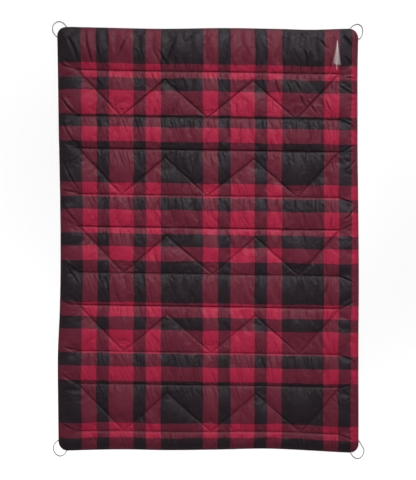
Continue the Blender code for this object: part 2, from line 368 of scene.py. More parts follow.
def in_folds(nodes, colour, strength):
    """The colour, darker down in the seams and creases, where little light reaches."""
    fold = nodes.attribute("fold", "Fac")
    deep = nodes.mix(1.0, colour, FOLD_SHADE, "MULTIPLY")
    return nodes.mix(nodes.math("MULTIPLY", fold, strength), colour, deep)


def cloth_weave(nodes, place):
    """The fine upright gathers, the crinkle and the plain weave of taffeta, as bump."""
    stretched = nodes.add("ShaderNodeMapping")
    stretched.inputs["Scale"].default_value = (1.0, 0.14, 1.0)
    stretched.inputs["Rotation"].default_value = (0.0, 0.0, math.radians(-7))
    nodes.link(place, stretched.inputs["Vector"])
    gathers = nodes.bump(nodes.noise(stretched.outputs[0], 95.0, 2.0), 1.6 * MM, 0.5)
    crinkle = nodes.bump(nodes.noise(place, 120.0, 3.0), 0.8 * MM, 0.4, gathers)
    turns = 2 * math.pi / WEAVE_PITCH
    threads = [nodes.math("SINE", nodes.math("MULTIPLY", axis, turns)) for axis in nodes.split(place)[:2]]
    weave = nodes.math("MULTIPLY", *threads)
    return nodes.bump(weave, 0.05 * MM, 0.4, crinkle)


def plaid_finish():
    """Printed red and black plaid on satin taffeta. Where red crosses black, fine slanted lines mix them."""
    nodes = Nodes("plaid_taffeta")
    cloth = nodes.attribute("cloth")
    x, y, inward = nodes.split(cloth)
    across = stripe(nodes, x, CROSS_STRIPES)
    along = stripe(nodes, y, LONG_STRIPES)
    crossing = nodes.math("MULTIPLY", across, along)
    either = nodes.math("MAXIMUM", across, along)
    slant = nodes.math("PINGPONG", nodes.math("ADD", x, y), HATCH_PITCH)
    hatch = nodes.math("GREATER_THAN", slant, HATCH_PITCH / 2)
    wine_light = tuple(1.2 * value for value in CLOTH_WINE)
    wine_dark = tuple(0.8 * value for value in CLOTH_WINE)
    wine = nodes.mix(hatch, wine_dark, wine_light)
    colour = nodes.mix(either, CLOTH_BLACK, wine)
    colour = nodes.mix(crossing, colour, CLOTH_RED)
    patches = nodes.noise(cloth, 14.0, 3.0)
    lively = nodes.math("MULTIPLY_ADD", patches, 0.3, 0.85)
    colour = nodes.mix(1.0, colour, nodes.mix(lively, (0.0, 0.0, 0.0), (1.0, 1.0, 1.0)), "MULTIPLY")
    colour = nodes.mix(nodes.math("MULTIPLY", sprig(nodes, x, y), 0.85), colour, SPRIG_WHITE)
    # Painted shade: a narrow band along the rolled edge is darkened, as the cloth there turns away from the
    # light.
    rim_shade = nodes.math("LESS_THAN", inward, RIM_SHADE_WIDTH)
    colour = nodes.mix(nodes.math("MULTIPLY", rim_shade, 0.45), colour, RIM_SHADE)
    rough = nodes.math("MULTIPLY_ADD", nodes.noise(cloth, 60.0), 0.2, 0.46)
    nodes.set(Base_Color=in_folds(nodes, colour, 0.85), Roughness=rough, Normal=cloth_weave(nodes, cloth))
    nodes.set(Specular_IOR_Level=0.15, Sheen_Weight=0.22, Sheen_Roughness=0.35)
    nodes.set(Sheen_Tint=(1.0, 0.72, 0.76, 1.0))
    return nodes.material


def back_finish():
    """Plain charcoal taffeta."""
    nodes = Nodes("charcoal_taffeta")
    cloth = nodes.attribute("cloth")
    patches = nodes.noise(cloth, 18.0, 3.0)
    dark = tuple(0.75 * value for value in BACK_CHARCOAL)
    light = tuple(1.25 * value for value in BACK_CHARCOAL)
    colour = in_folds(nodes, nodes.mix(patches, dark, light), 0.5)
    rough = nodes.math("MULTIPLY_ADD", nodes.noise(cloth, 60.0), 0.2, 0.38)
    nodes.set(Base_Color=colour, Roughness=rough, Normal=cloth_weave(nodes, cloth), Specular_IOR_Level=0.2)
    return nodes.material


def thread_finish():
    """Twisted polyester thread, wine red."""
    nodes = Nodes("wine_thread")
    coordinates = nodes.add("ShaderNodeTexCoord")
    fibres = nodes.noise(coordinates.outputs["Object"], 1400.0, 2.0)
    twist = nodes.bump(fibres, 0.1 * MM, 0.5)
    nodes.set(Base_Color=nodes.mix(fibres, *THREAD_COLOURS), Normal=twist, Roughness=0.6)
    return nodes.material


def cord_finish():
    """Braided grey cord: two sets of strands wound opposite ways."""
    nodes = Nodes("braided_cord")
    along, side, top = nodes.split(nodes.attribute("lay"))
    around = nodes.math("MULTIPLY", nodes.math("ARCTAN2", top, side), BRAID_STRANDS)
    run = nodes.math("MULTIPLY", along, 2 * math.pi / BRAID_PITCH)
    one_way = nodes.math("SINE", nodes.math("ADD", run, around))
    other_way = nodes.math("SINE", nodes.math("SUBTRACT", run, around))
    strands = nodes.math("MAXIMUM", one_way, other_way)
    share = nodes.math("MULTIPLY_ADD", strands, 0.5, 0.5)
    nodes.set(Base_Color=nodes.mix(share, *CORD_COLOURS), Normal=nodes.bump(strands, 0.2 * MM, 0.8))
    nodes.set(Roughness=0.6, Specular_IOR_Level=0.3)
    return nodes.material


# ---------- hanging loops

# For each loop: its side, its end, and its route in millimetres, beyond the side edge and the end edge.
# Both ends of a route lie on the loop's hinge line.
LOOPS = {
    "head_left_loop": (-1, 1, (
        (-36, 1.6), (-33.5, 11), (-28, 18.5), (-20, 25.5), (-10.5, 29.8), (-1, 30.5), (8.5, 27.5),
        (16.5, 20.5), (22, 11), (24, 0.5), (23, -9.5), (19, -18), (13, -25.5), (7, -31.5), (1.6, -36),
    )),
    "head_right_loop": (1, 1, (
        (-33, 1.5), (-30, 6), (-23, 12), (-15, 16.8), (-7, 19.2), (0.5, 18.8), (8, 15.5), (14, 9.5),
        (17.5, 1), (18.3, -9), (17.2, -19.5), (14.2, -30), (10, -38), (5.5, -42.5), (1.6, -43),
    )),
    "foot_left_loop": (-1, -1, (
        (-36, 1.6), (-34.5, 9), (-30.5, 16.5), (-24, 23.5), (-16.5, 28), (-8.5, 29), (0.5, 26.5),
        (9, 20.5), (15.5, 12), (19.5, 2), (20.5, -7.5), (18, -16.5), (13, -24.5), (7, -31.5),
        (1.6, -36),
    )),
    "foot_right_loop": (1, -1, (
        (-36, 1.6), (-34, 11), (-28.5, 22.5), (-21, 32), (-12, 38), (-3, 40), (6, 37.5), (14.5, 31),
        (20.5, 22), (23.5, 12), (23, 2), (19, -8), (13, -18.5), (6.5, -29), (1.6, -36),
    )),
}
LOOP_TAIL = 7 * MM
CORD_SIDES = 14
CORD_STEPS_PER_POINT = 8


def smooth_line(points, steps):
    """A smooth line through points, steps to each stretch."""
    ends = [2 * points[0] - points[1], *points, 2 * points[-1] - points[-2]]
    line = []
    for before, start, finish, after in zip(ends, ends[1:], ends[2:], ends[3:]):
        for step in range(steps):
            t = step / steps
            bend = 2 * before - 5 * start + 4 * finish - after
            twist = -before + 3 * start - 3 * finish + after
            line.append(0.5 * (2 * start + (finish - before) * t + bend * t * t + twist * t**3))
    return [*line, points[-1]]


def loop_route(side, end, outline):
    """A loop's centreline, with its sewn-in tails at both ends."""
    points = [
        Vector((side * (HALF_WIDTH + out * MM), end * (HALF_LENGTH + beyond * MM), CORD_DIAMETER / 2))
        for out, beyond in outline
    ]
    first_tail = points[0] - Vector((0.0, end * LOOP_TAIL, 0.0))
    last_tail = points[-1] - Vector((side * LOOP_TAIL, 0.0, 0.0))
    return smooth_line([first_tail, *points, last_tail], CORD_STEPS_PER_POINT)


def tube_mesh(name, line, radius, sides):
    """A round cord along line, closed at both ends.

    The lay attribute holds the distance along it and the direction out of it.
    """
    tube = bmesh.new()
    lay = tube.verts.layers.float_vector.new("lay")
    distance = 0.0
    ring = None
    for number, point in enumerate(line):
        ahead = line[min(number + 1, len(line) - 1)] - line[max(number - 1, 0)]
        matrix = Matrix.Translation(point) @ ahead.to_track_quat("Z", "Y").to_matrix().to_4x4()
        if number:
            distance += (point - line[number - 1]).length
        fresh = bmesh.ops.create_circle(tube, segments=sides, radius=radius, matrix=matrix)["verts"]
        for place, vert in enumerate(fresh):
            angle = 2 * math.pi * place / sides
            vert[lay] = (distance, math.cos(angle), math.sin(angle))
        if ring:
            for place in range(sides):
                following = (place + 1) % sides
                tube.faces.new((ring[place], ring[following], fresh[following], fresh[place]))
        else:
            bmesh.ops.contextual_create(tube, geom=fresh)
        ring = fresh
    bmesh.ops.contextual_create(tube, geom=ring)
    bmesh.ops.recalc_face_normals(tube, faces=tube.faces)
    return smooth_mesh(name, tube)


def add_loops(finish):
    """The four corner loops, each swinging on its own body."""
    for node, (side, end, outline) in LOOPS.items():
        line = loop_route(side, end, outline)
        mesh = tube_mesh(f"{node}_braid", line, CORD_DIAMETER / 2, CORD_SIDES)
        mesh.materials.append(finish)
        piece = new_object(f"{node}_braid", mesh)
        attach(piece, node)
        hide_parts(node)


# ---------- the sewing plan

# Cells of the cloth grid across a zigzag run and a side border, and down each kind of stretch.
RUN_CELLS = 28
BORDER_CELLS = 11
TOP_CELLS = 29
PEAK_CELLS = 6
PLAIN_CELLS = 23
BOTTOM_CELLS = 9

# How far each zigzag's inner turning points lie right of even spacing, in millimetres.
ZIGZAG_SHIFT = {
    "head": (0, 0, -5, 3, 3),
    "chest": (0, 2, -5, 8, 8),
    "middle": (8, 8, 18, 15, 13),
    "knee": (11, 12, 12, 15, 14),
    "foot": (11, 11, 12, 17, 22),
}
TOLERANCE = 0.01 * MM
EVEN_PLACES = np.linspace(-QUILTED_HALF, QUILTED_HALF, ZIGZAG_RUNS + 1)


def stretch(start, end, cells):
    """Evenly spaced places after start, up to end."""
    return list(np.linspace(start, end, cells + 1)[1:])


def grid_columns():
    """The x of each column of the cloth grid."""
    hem = -HALF_WIDTH + HEM_WIDTH
    half = [-HALF_WIDTH, hem, *stretch(hem, -QUILTED_HALF, BORDER_CELLS)]
    inner = stretch(-QUILTED_HALF, QUILTED_HALF, ZIGZAG_RUNS * RUN_CELLS)
    return np.array([*half, *inner, *[-x for x in reversed(half[:-1])]])


def grid_rows():
    """The y of each row of the cloth grid, and the number of the row at each sewn line."""
    rows = [HALF_LENGTH, HALF_LENGTH - HEM_WIDTH]
    rows += stretch(rows[-1], UPPER_ROW["head"], TOP_CELLS)
    sewn = {}
    for panel in PANELS:
        peak = UPPER_ROW[panel] - ZIGZAG_PEAK_INSET
        sewn[panel, "upper"] = len(rows) - 1
        rows += stretch(UPPER_ROW[panel], peak, PEAK_CELLS)
        rows += stretch(peak, LOWER_ROW[panel], RUN_CELLS)
        sewn[panel, "lower"] = len(rows) - 1
        if panel != "foot":
            below = PANELS[PANELS.index(panel) + 1]
            rows += stretch(LOWER_ROW[panel], UPPER_ROW[below], PLAIN_CELLS)
    rows += stretch(LOWER_ROW["foot"], -HALF_LENGTH + HEM_WIDTH, BOTTOM_CELLS)
    rows.append(-HALF_LENGTH)
    return np.array(rows), sewn


def turning_shift(panel):
    """How far right of even spacing a zigzag's ends and turning points lie."""
    return np.array((0, *ZIGZAG_SHIFT[panel], 0)) * MM


def zigzag_points(panel, even=False):
    """The turning points of a panel's zigzag, left to right, where they are sewn or evenly spaced."""
    places = EVEN_PLACES if even else EVEN_PLACES + turning_shift(panel)
    upper, lower = UPPER_ROW[panel], LOWER_ROW[panel]
    turns = [lower if number % 2 else upper - ZIGZAG_PEAK_INSET for number in range(1, ZIGZAG_RUNS)]
    return list(zip(places, [upper, *turns, upper]))


def sewing_lines():
    """Every quilting line as (start, end), straight rows and zigzag runs alike."""
    lines = []
    for panel in PANELS:
        for y in (UPPER_ROW[panel], LOWER_ROW[panel]):
            lines.append(((-QUILTED_HALF, y), (QUILTED_HALF, y)))
        points = zigzag_points(panel)
        lines += list(zip(points, points[1:]))
    return lines


def doubled(values):
    """The values with one more halfway between each two."""
    return np.interp(np.arange(2 * len(values) - 1) / 2, np.arange(len(values)), values)


def drawn_across(x, y):
    """The grid's x, drawn sideways so that its diagonals follow the zigzags as they are sewn."""
    levels, shifts = [-HALF_LENGTH], [0 * EVEN_PLACES]
    for panel in reversed(PANELS):
        levels += [LOWER_ROW[panel], UPPER_ROW[panel]]
        shifts += [turning_shift(panel)] * 2
    levels.append(HALF_LENGTH)
    shifts = np.array([*shifts, 0 * EVEN_PLACES])
    drawn = np.transpose([np.interp(y[:, 0], levels, shifts[:, number]) for number in range(ZIGZAG_RUNS + 1)])
    return np.array([line + np.interp(line, EVEN_PLACES, shift) for line, shift in zip(x, drawn)])


def laid_grid(columns, rows):
    """The flat cut cloth with rounded corners, as x and y, and the points that the zigzags hold."""
    x, y = np.meshgrid(columns, rows)
    x = drawn_across(x, y)
    into = np.clip(np.abs(y) - (HALF_LENGTH - CORNER_RADIUS), 0.0, CORNER_RADIUS)
    edge = HALF_WIDTH - CORNER_RADIUS + np.sqrt(CORNER_RADIUS**2 - into**2)
    beyond = np.clip(np.abs(x) - QUILTED_HALF, 0.0, None) / (HALF_WIDTH - QUILTED_HALF)
    x = np.where(beyond > 0, np.sign(x) * (QUILTED_HALF + beyond * (edge - QUILTED_HALF)), x)
    held = np.zeros(x.shape, bool)
    for panel in PANELS:
        sewn, even = zigzag_points(panel), zigzag_points(panel, even=True)
        for (x0, y0), (x1, y1), (even_x0, _), (even_x1, _) in zip(sewn, sewn[1:], even, even[1:]):
            low, high = min(y0, y1) - TOLERANCE, max(y0, y1) + TOLERANCE
            for number in np.nonzero((rows >= low) & (rows <= high))[0]:
                share = (rows[number] - y0) / (y1 - y0)
                nearest = int(np.argmin(np.abs(columns - even_x0 - share * (even_x1 - even_x0))))
                x[number, nearest] = x0 + share * (x1 - x0)
                held[number, nearest] = True
    return x, y, held


def grid_mesh(name, points):
    """A grid of quads through points, an array of rows by columns by 3, built from Blender's own grid."""
    rows, columns = points.shape[:2]
    sheet = bmesh.new()
    bmesh.ops.create_grid(sheet, x_segments=columns - 1, y_segments=rows - 1, size=0.5)
    mesh = bpy.data.meshes.new(name)
    sheet.to_mesh(mesh)
    sheet.free()
    flat = np.zeros(len(mesh.vertices) * 3)
    mesh.vertices.foreach_get("co", flat)
    flat = flat.reshape(-1, 3)
    column = np.rint((flat[:, 0] + 0.5) * (columns - 1)).astype(int)
    row = np.rint((0.5 - flat[:, 1]) * (rows - 1)).astype(int)
    mesh.vertices.foreach_set("co", points[row, column].ravel())
    return mesh, row, column


# ---------- cloth simulation

SETTLE_FRAMES = 20
GATHER = 0.035
CLOTH_SETTINGS = {
    "quality": 4,
    "mass": 0.1,
    "tension_stiffness": 15,
    "compression_stiffness": 15,
    "shear_stiffness": 5,
    "bending_stiffness": 0.02,
    "tension_damping": 5,
    "compression_damping": 5,
    "shear_damping": 5,
    "bending_damping": 0.5,
    "air_damping": 2,
    "vertex_group_mass": "sewn",
    "pin_stiffness": 1,
    "use_pressure": True,
    "uniform_pressure_force": 1.6,
    "shrink_min": -GATHER,
    "shrink_max": -GATHER,
}


def settle_cloth(points, held):
    """Blows the sewn cloth up between its held points and returns where each grid point comes to rest."""
    mesh, row, column = grid_mesh("sewn_cloth", points)
    sheet = new_object("sewn_cloth", mesh)
    group = sheet.vertex_groups.new(name="sewn")
    group.add([int(number) for number in np.nonzero(held[row, column])[0]], 1.0, "REPLACE")
    cloth = sheet.modifiers.new("taffeta", "CLOTH")
    for setting, value in CLOTH_SETTINGS.items():
        setattr(cloth.settings, setting, value)
    cloth.settings.effector_weights.gravity = 0
    cloth.collision_settings.use_collision = False
    cloth.point_cache.frame_start = 1
    cloth.point_cache.frame_end = SETTLE_FRAMES + 1
    for number in range(1, SETTLE_FRAMES + 1):
        bpy.context.scene.frame_set(number)
    settled = sheet.evaluated_get(bpy.context.evaluated_depsgraph_get()).data
    flat = np.zeros(len(mesh.vertices) * 3)
    settled.vertices.foreach_get("co", flat)
    result = np.zeros_like(points)
    result[row, column] = flat.reshape(-1, 3)
    bpy.data.objects.remove(sheet, do_unlink=True)
    bpy.data.meshes.remove(mesh)
    bpy.context.scene.frame_set(1)
    return result


def held_points(columns, sewn, others):
    """The grid points that thread holds: those of the straight rows and the others."""
    held = others.copy()
    quilted = np.abs(columns) <= QUILTED_HALF + TOLERANCE
    for number in sewn.values():
        held[number, quilted] = True
    return held


def halved(values):
    """A grid twice as fine, its new points on a smooth curve through the old ones."""
    for axis in (0, 1):
        values = np.moveaxis(values, axis, 0)
        padded = np.concatenate([2 * values[:1] - values[1:2], values, 2 * values[-1:] - values[-2:-1]])
        between = (9 * (padded[1:-2] + padded[2:-1]) - padded[:-3] - padded[3:]) / 16
        finer = np.empty((2 * len(values) - 1, *values.shape[1:]))
        finer[0::2] = values
        finer[1::2] = between
        values = np.moveaxis(finer, 0, axis)
    return values


def softened(values, held, share):
    """The grid with each free point moved by share towards the mean of its neighbours."""
    around = values.copy()
    across, along = values[1:-1], values[:, 1:-1]
    around[1:-1, 1:-1] = (along[:-2] + along[2:] + across[:, :-2] + across[:, 2:]) / 4
    return np.where(held[..., None], values, values + share * (around - values))


def distance_to_lines(x, y, lines):
    """Each point's distance to the nearest of the lines."""
    nearest = np.full(x.shape, 1.0)
    for (x0, y0), (x1, y1) in lines:
        run_x, run_y = x1 - x0, y1 - y0
        t = np.clip(((x - x0) * run_x + (y - y0) * run_y) / (run_x**2 + run_y**2), 0.0, 1.0)
        nearest = np.minimum(nearest, np.hypot(x - x0 - t * run_x, y - y0 - t * run_y))
    return nearest


# ---------- creases

PUCKER_SEED = 11
PUCKER_START = (5 * MM, 30 * MM)
PUCKER_SPACING = (12 * MM, 34 * MM)
PUCKER_LENGTHS = (28 * MM, 110 * MM)
PUCKER_HALF_WIDTHS = (1.8 * MM, 3.0 * MM)
PUCKER_DEPTHS = (0.7 * MM, 2.9 * MM)
PUCKER_BOW = 2.5 * MM

# The puckers' mean lean at the middle, how much less it is at the right, and its spread, in degrees.
PUCKER_LEAN, LEAN_LOSS, LEAN_SPREAD = 11, 9, 7

# The slack above a zigzag's low point: each crease's height over it and half its span.
SLACK_CREASES = ((13 * MM, 11 * MM), (23 * MM, 18 * MM), (35 * MM, 26 * MM))
SLACK_WAVER = (-2 * MM, 4 * MM)
SLACK_DEPTHS = (0.6 * MM, 1.7 * MM)
SLACK_BOW = -5 * MM
SLACK_HALF_WIDTH = 2.4 * MM


class FineGrid:
    """A grid's points, its columns' x and its rows' y, and the height of the creases at each point."""

    def __init__(self, columns, rows):
        self.columns, self.rows = columns, rows
        self.x, self.y, _ = laid_grid(columns, rows)
        self.height = np.zeros(self.x.shape)


def crease(grid, start, end, bow, half_width, depth):
    """Presses one long narrow crease into a grid, with a low fold on its left, seen from its start."""
    (x0, y0), (x1, y1) = start, end
    length = math.hypot(x1 - x0, y1 - y0)
    ux, uy = (x1 - x0) / length, (y1 - y0) / length
    margin = 4 * half_width + abs(bow)
    left, right = np.searchsorted(grid.columns, (min(x0, x1) - margin, max(x0, x1) + margin))
    top, bottom = np.searchsorted(-grid.rows, (-max(y0, y1) - margin, -min(y0, y1) + margin))
    window = np.s_[top:bottom, left:right]
    dx, dy = grid.x[window] - x0, grid.y[window] - y0
    t = (dx * ux + dy * uy) / length
    across = dy * ux - dx * uy - bow * 4 * t * (1 - t)
    # It is deepest a little before the middle and runs out towards both ends.
    fade = np.sin(np.pi * np.clip(t, 0.0, 1.0) ** 0.7) ** 0.8
    groove = np.exp(-((across / half_width) ** 2))
    fold = 0.55 * np.exp(-(((across - 2.0 * half_width) / (1.5 * half_width)) ** 2))
    grid.height[window] -= depth * fade * (groove - fold)


def add_puckers(grid, lines):
    """Short creases that run out from both sides of every straight row, at uneven spacing."""
    draw = np.random.default_rng(PUCKER_SEED)
    straight = [line for line in lines if line[0][1] == line[1][1]]
    for (x0, row), (x1, _) in straight:
        for side in (-1, 1):
            place = x0 + draw.uniform(*PUCKER_START)
            while place < x1:
                lean = math.radians(draw.normal(PUCKER_LEAN - LEAN_LOSS * place / QUILTED_HALF, LEAN_SPREAD))
                reach = side * draw.uniform(*PUCKER_LENGTHS)
                crease(
                    grid,
                    start=(place, row + side * 2 * MM),
                    end=(place - reach * math.sin(lean), row + reach * math.cos(lean)),
                    bow=draw.normal(0, PUCKER_BOW),
                    half_width=draw.uniform(*PUCKER_HALF_WIDTHS),
                    depth=draw.uniform(*PUCKER_DEPTHS),
                )
                place += draw.uniform(*PUCKER_SPACING)


def add_slack(grid):
    """Sagging creases stacked above each zigzag's low points."""
    draw = np.random.default_rng(PUCKER_SEED + 1)
    for panel in PANELS:
        for place, level in zigzag_points(panel)[1::2]:
            for rise, half_span in SLACK_CREASES:
                left = (place - half_span, level + rise + draw.uniform(*SLACK_WAVER))
                right = (place + half_span, level + rise + draw.uniform(*SLACK_WAVER))
                crease(grid, left, right, SLACK_BOW, SLACK_HALF_WIDTH, draw.uniform(*SLACK_DEPTHS))


# Where the creases across the lower right border start and end along the blanket, in millimetres.
RIGHT_BORDER = (
    (512, 480), (375, 410), (180, 150), (46, 80), (-152, -185), (-287, -250), (-484, -515), (-619, -590),
    (-815, -845),
)

# Long creases, most of them in the plain borders, in millimetres: start, end, sideways bow, half
# width and depth.
PLACED_CREASES = (
    ((-625, 600), (-570, 528), -3, 4.2, 5.5),
    ((-518, 880), (-484, 724), -6, 4.2, 4.8),
    ((-470, 815), (-446, 738), -3, 3.4, 3.6),
    ((-384, 754), (-332, 868), 4, 3.8, 4),
    ((-293, 820), (-272, 742), 2, 3.4, 3),
    ((-208, 800), (-166, 730), -4, 4.4, 4.6),
    ((-168, 752), (-128, 868), 5, 3.6, 3.4),
    ((-88, 826), (-62, 880), 1, 3.2, 3),
    ((-620, 140), (-586, 74), -4, 4, 3.6),
    ((-622, -100), (-586, -168), 5, 4.2, 4.2),
    ((-586, -152), (-557, -200), 3, 3.8, 3.8),
    ((-470, -142), (-440, -226), -3, 3.6, 4),
    ((-442, -166), (-420, -262), 4, 3.4, 3.6),
    ((480, -250), (520, -160), 4, 3.6, 3.2),
    ((586, 300), (628, 352), -2, 3.3, 5.3),
    ((574, 90), (626, 150), -3, 3.4, 5.6),
    ((-630, 744), (-558, 713), -8, 4, 4.7),
    ((-592, 845), (-549, 735), 8, 6, 6.8),
    ((-490, 735), (-530, 840), -6, 5.5, 4),
    ((-370, 745), (-350, 850), 4, 5, 2.5),
    ((-205, 730), (-235, 800), -4, 4.5, 2.2),
    ((-625, 590), (-556, 516), -3, 4, 4.7),
    ((-615, 490), (-544, 380), -10, 4.5, 5.4),
    ((-620, 330), (-552, 200), -6, 4.5, 4.7),
    ((-622, 200), (-552, 188), -3, 4, 3.4),
    ((-622, 145), (-545, 46), -6, 4.5, 5.1),
    ((-622, -95), (-552, -150), -4, 4.5, 4.1),
    ((-622, -276), (-550, -285), -3, 4.5, 3.8),
    ((-610, -468), (-552, -474), -2, 4, 3.8),
    ((-622, -575), (-552, -617), -4, 4.5, 4.1),
    ((-622, -780), (-552, -812), -4, 4.5, 4.1),
    ((585, 693), (630, 692), 0, 3.3, 4.9),
    ((555, 660), (631, 618), -4, 3.7, 5.3),
    ((567, 862), (616, 806), 2, 4.9, 6.3),
    ((472, 845), (500, 808), 2, 3.7, 5.3),
    ((405, 806), (421, 732), 3, 3.7, 5.3),
    ((575, 780), (612, 735), 2, 3.7, 3.5),
    *[((556, start), (625, end), 2, 3.7, 4.2) if end < start else ((556, start), (625, end), -2, 3.7, 3.5)
      for start, end in RIGHT_BORDER],
    ((361, 680), (391, 627), 2, 3.2, 4.6),
    ((387, 617), (419, 556), -2, 3.2, 4.6),
    ((416, 598), (462, 529), 2, 3.4, 5),
    ((281, 687), (305, 618), -2, 3, 4.2),
    ((331, 670), (352, 616), 2, 3, 3.8),
    ((497, 598), (526, 540), -2, 3.2, 4),
)


def add_placed_creases(grid):
    """The long creases, each in its own place."""
    for start, end, bow, half_width, depth in PLACED_CREASES:
        crease(grid, np.array(start) * MM, np.array(end) * MM, bow * MM, half_width * MM, depth * MM)


# ---------- how the blanket lies

# How far each edge wanders outward from straight, in millimetres: (place along the edge, outward).
TOP_EDGE = ((-640, 9), (-490, 6), (-180, 0), (50, 3), (320, -1), (420, -4), (580, 0), (640, 1))
BOTTOM_EDGE = ((-640, 7), (-340, 1), (-190, 4), (20, 2), (270, -2), (420, 5), (580, 14), (640, 16))
LEFT_EDGE = ((-890, -2), (-710, 0), (-500, 1), (-310, -7), (300, -6), (430, -3), (640, 0), (890, 4))
RIGHT_EDGE = ((-890, 1), (-340, 1), (-200, 2), (130, 0), (400, -3), (540, -3), (740, -3), (890, 0))
ROW_TILT = 8.5 * MM
HEAD_DROP = 5 * MM

# The print runs askew by these shares of x, of x squared and, right of the middle, of x times y.
# It wavers along x and y in waves, each (size, turn by x, turn by y) in radians a metre.
PRINT_SKEW = (0.010, 0.006, -0.0093)
WAVES_ALONG_X = ((1.1 * MM, 7, 21), (0.8 * MM, -19, 57))
WAVES_ALONG_Y = ((1.0 * MM, 17, 9), (0.8 * MM, 43, -23))


def eased(place, shape):
    """A smooth curve through the (place, value) points of shape, which are in millimetres, read at place."""
    at, value = np.array(shape).T * MM
    slope = np.gradient(value, at)
    number = np.clip(np.searchsorted(at, place) - 1, 0, len(at) - 2)
    width = at[number + 1] - at[number]
    t = np.clip((place - at[number]) / width, 0.0, 1.0)
    start = (1 + 2 * t) * (1 - t) ** 2 * value[number] + t * (1 - t) ** 2 * width * slope[number]
    return start + t * t * (3 - 2 * t) * value[number + 1] - t * t * (1 - t) * width * slope[number + 1]


def lie(x, y):
    """Where a point of the cut cloth comes to lie, with its wandering edges and slightly tilted rows."""
    across, along = np.abs(x) / HALF_WIDTH, np.abs(y) / HALF_LENGTH
    side = np.where(x < 0, -eased(y, LEFT_EDGE), eased(y, RIGHT_EDGE))
    end = np.where(y < 0, -eased(x, BOTTOM_EDGE), eased(x, TOP_EDGE))
    toward_head = np.clip(y / HALF_LENGTH + 0.2, 0.0, 1.0) ** 2
    slip = (ROW_TILT * x / QUILTED_HALF + HEAD_DROP * toward_head) * (1 - along**10)
    return x + side * across**3, y + end * along**5 - slip


def waver(x, y, waves):
    """The sum of some waves at each point."""
    return sum(size * np.sin(by_x * x + by_y * y) for size, by_x, by_y in waves)


def printed_place(x, y):
    """The place in the plaid that shows at a place of the cut cloth."""
    lean, curve, twist = PRINT_SKEW
    skew = lean * x + curve * x * x + twist * np.maximum(x, 0.0) * y
    return x + skew + waver(x, y, WAVES_ALONG_X), y + waver(x, y, WAVES_ALONG_Y)


# ---------- the quilt's two cloths

# The face stands up beside each seam by the shoulder, over about the shoulder's width.
SHOULDER = 4.6 * MM
SHOULDER_WIDTH = 4.2 * MM
FACE_LOFT = 0.8
BACK_LOFT = 0.35
BACK_CLEARANCE = 0.3 * MM
BACK_HEM = 0.5 * MM
HEM_RISE = 20 * MM
CREASE_CLEARANCE = 5 * MM
SMOOTHING = 0.45
HEM_LIMIT = HEM_WIDTH * 1.01

# The free points start a little above the seams, unevenly, which sets the cloth puffing upward.
SCATTER_SEED = 3
SCATTER_MEAN, SCATTER_SPREAD = 0.001, 0.0004
FOLD_DEPTH = 2.5 * MM

# How much weaker the painted shade in the seams is at the foot end, and where down the blanket that sets in.
SEAM_SHADE_FADE = 0.55
SHADE_FADE_START = 0.4
SHADE_FADE_SPAN = 0.9


def hem_points(x):
    """The points of a grid that lie in the hem."""
    hem = np.zeros(x.shape, bool)
    hem[:2] = hem[-2:] = True
    hem[:, :2] = hem[:, -2:] = True
    return hem


def shaped_cloths(columns, rows, sewn):
    """The face on a fine grid and the back on the coarse one.

    Each comes as its points, and for each point its place in the cloth's pattern, its inset from
    the edge and how deep it lies in a fold.
    """
    x, y, zigzag = laid_grid(columns, rows)
    hem = hem_points(x)
    held = held_points(columns, sewn, zigzag | hem)
    floor = np.where(hem, HEM_HEIGHT, PINCH_HEIGHT)
    start = np.stack([x, y, floor], 2)
    scatter = np.random.default_rng(SCATTER_SEED).normal(SCATTER_MEAN, SCATTER_SPREAD, x.shape)
    start[..., 2] += np.where(held, 0.0, scatter)
    settled = settle_cloth(start, held)
    start[..., 2] = floor
    moved = softened(settled - start, held, SMOOTHING)

    fine = FineGrid(doubled(columns), doubled(rows))
    fine_x, fine_y = fine.x, fine.y
    flat = np.stack([fine_x, fine_y, np.zeros(fine_x.shape)], 2)
    face = flat + halved(moved[:, ::-1] * (-1, 1, 1))
    gap = distance_to_lines(fine_x, fine_y, sewing_lines())
    inset = edge_inset(fine_x, fine_y)
    from_thread = np.minimum(gap, np.maximum(inset - HEM_WIDTH, 0.0))
    free = 1 - np.exp(-((from_thread / CREASE_CLEARANCE) ** 2))
    add_puckers(fine, sewing_lines())
    add_slack(fine)
    add_placed_creases(fine)
    loft = face[..., 2] * FACE_LOFT + fine.height * free
    shoulder = SHOULDER * (1 - np.exp(-gap / SHOULDER_WIDTH))
    rise = np.clip((inset - HEM_WIDTH) / HEM_RISE, 0.0, 1.0)
    base = HEM_HEIGHT + (PINCH_HEIGHT - HEM_HEIGHT) * rise
    face[..., 2] = base + np.where(inset > HEM_LIMIT, np.maximum(loft + shoulder * rise, 0.0), 0.0)
    face[..., 0], face[..., 1] = lie(face[..., 0], face[..., 1])
    rolled_edge(face)

    back = np.stack([x, y, np.zeros(x.shape)], 2) + moved * (1, 1, 0)
    back[..., 0], back[..., 1] = lie(back[..., 0], back[..., 1])
    under = PINCH_HEIGHT - SEAM_THICKNESS
    back[..., 2] = np.maximum(under - moved[..., 2] * BACK_LOFT, BACK_CLEARANCE)
    back_inset = edge_inset(x, y)
    back[..., 2] = np.where(back_inset < HEM_LIMIT, BACK_HEM, back[..., 2])
    back_cut = np.stack([x, y, back_inset, sunken(-back[..., 2], FOLD_DEPTH, 1)], 2)
    # The painted shade in the seams and creases, weaker towards the foot end.
    seam_shade_share = 1 - SEAM_SHADE_FADE * np.clip((SHADE_FADE_START - fine_y) / SHADE_FADE_SPAN, 0.0, 1.0)
    face_fold = seam_shade_share * sunken(face[..., 2], FOLD_DEPTH, 2)
    face_cut = np.stack([*printed_place(fine_x, fine_y), inset, face_fold], 2)
    return face, face_cut, back, back_cut


